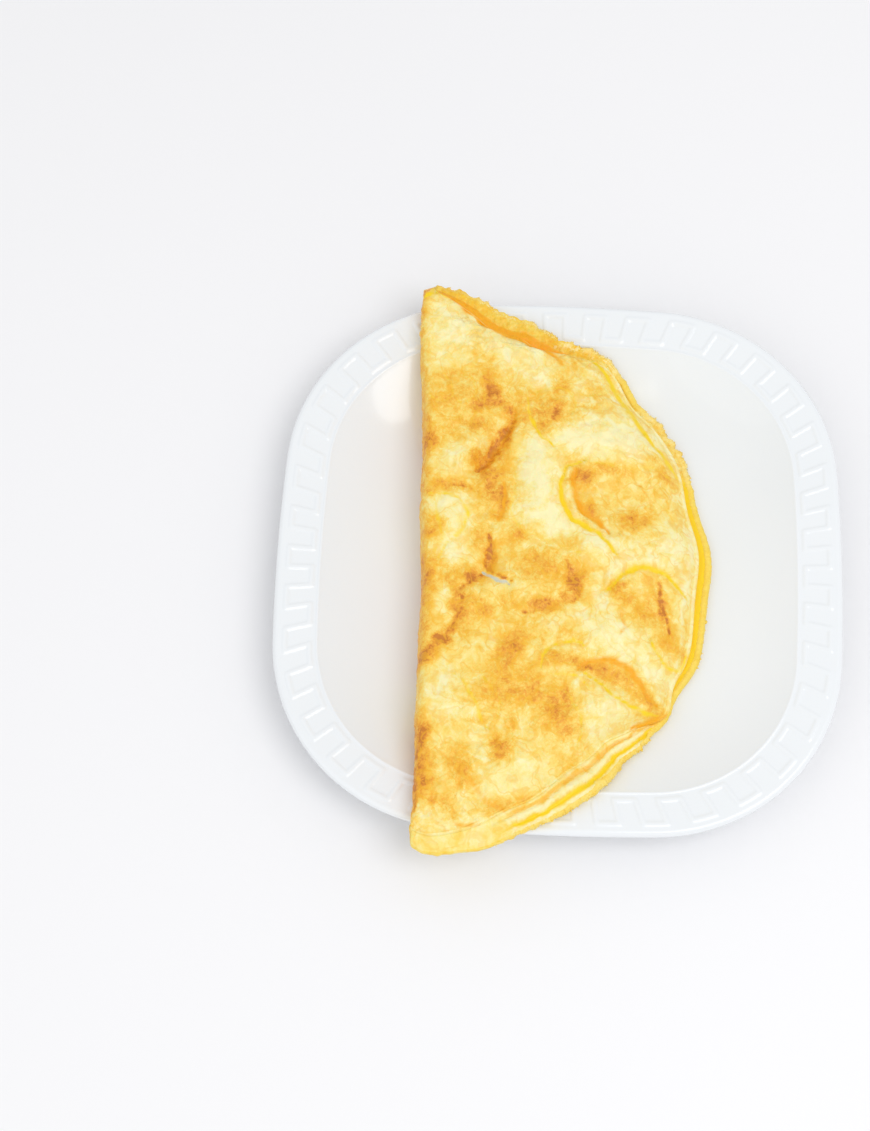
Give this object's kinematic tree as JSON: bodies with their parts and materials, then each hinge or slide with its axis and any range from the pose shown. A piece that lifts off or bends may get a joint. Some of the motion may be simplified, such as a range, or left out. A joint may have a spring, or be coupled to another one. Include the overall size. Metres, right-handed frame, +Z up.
{
  "type": "folded omelette on a plate",
  "caption": "Thin browned egg omelette folded in half into a half-moon, lying across a square white porcelain plate with rounded corners and a raised key pattern on its rim.",
  "frame": {"origin": "on the surface that the plate stands on, under the middle of the box round plate and omelette", "axes": "+Y along the omelette's straight fold, +X from the fold towards its curved rim, +Z up"},
  "size_m": [0.23, 0.2444, 0.0314],
  "materials": {
    "white_glaze": "smooth clear gloss glaze on white porcelain",
    "browned_egg": "fried egg: pale yellow puffs, golden to brown lacy patches, faint oily sheen"
  },
  "bodies": {
    "root": {"plate": "white_glaze", "omelette": "browned_egg"}
  },
  "joints": []
}
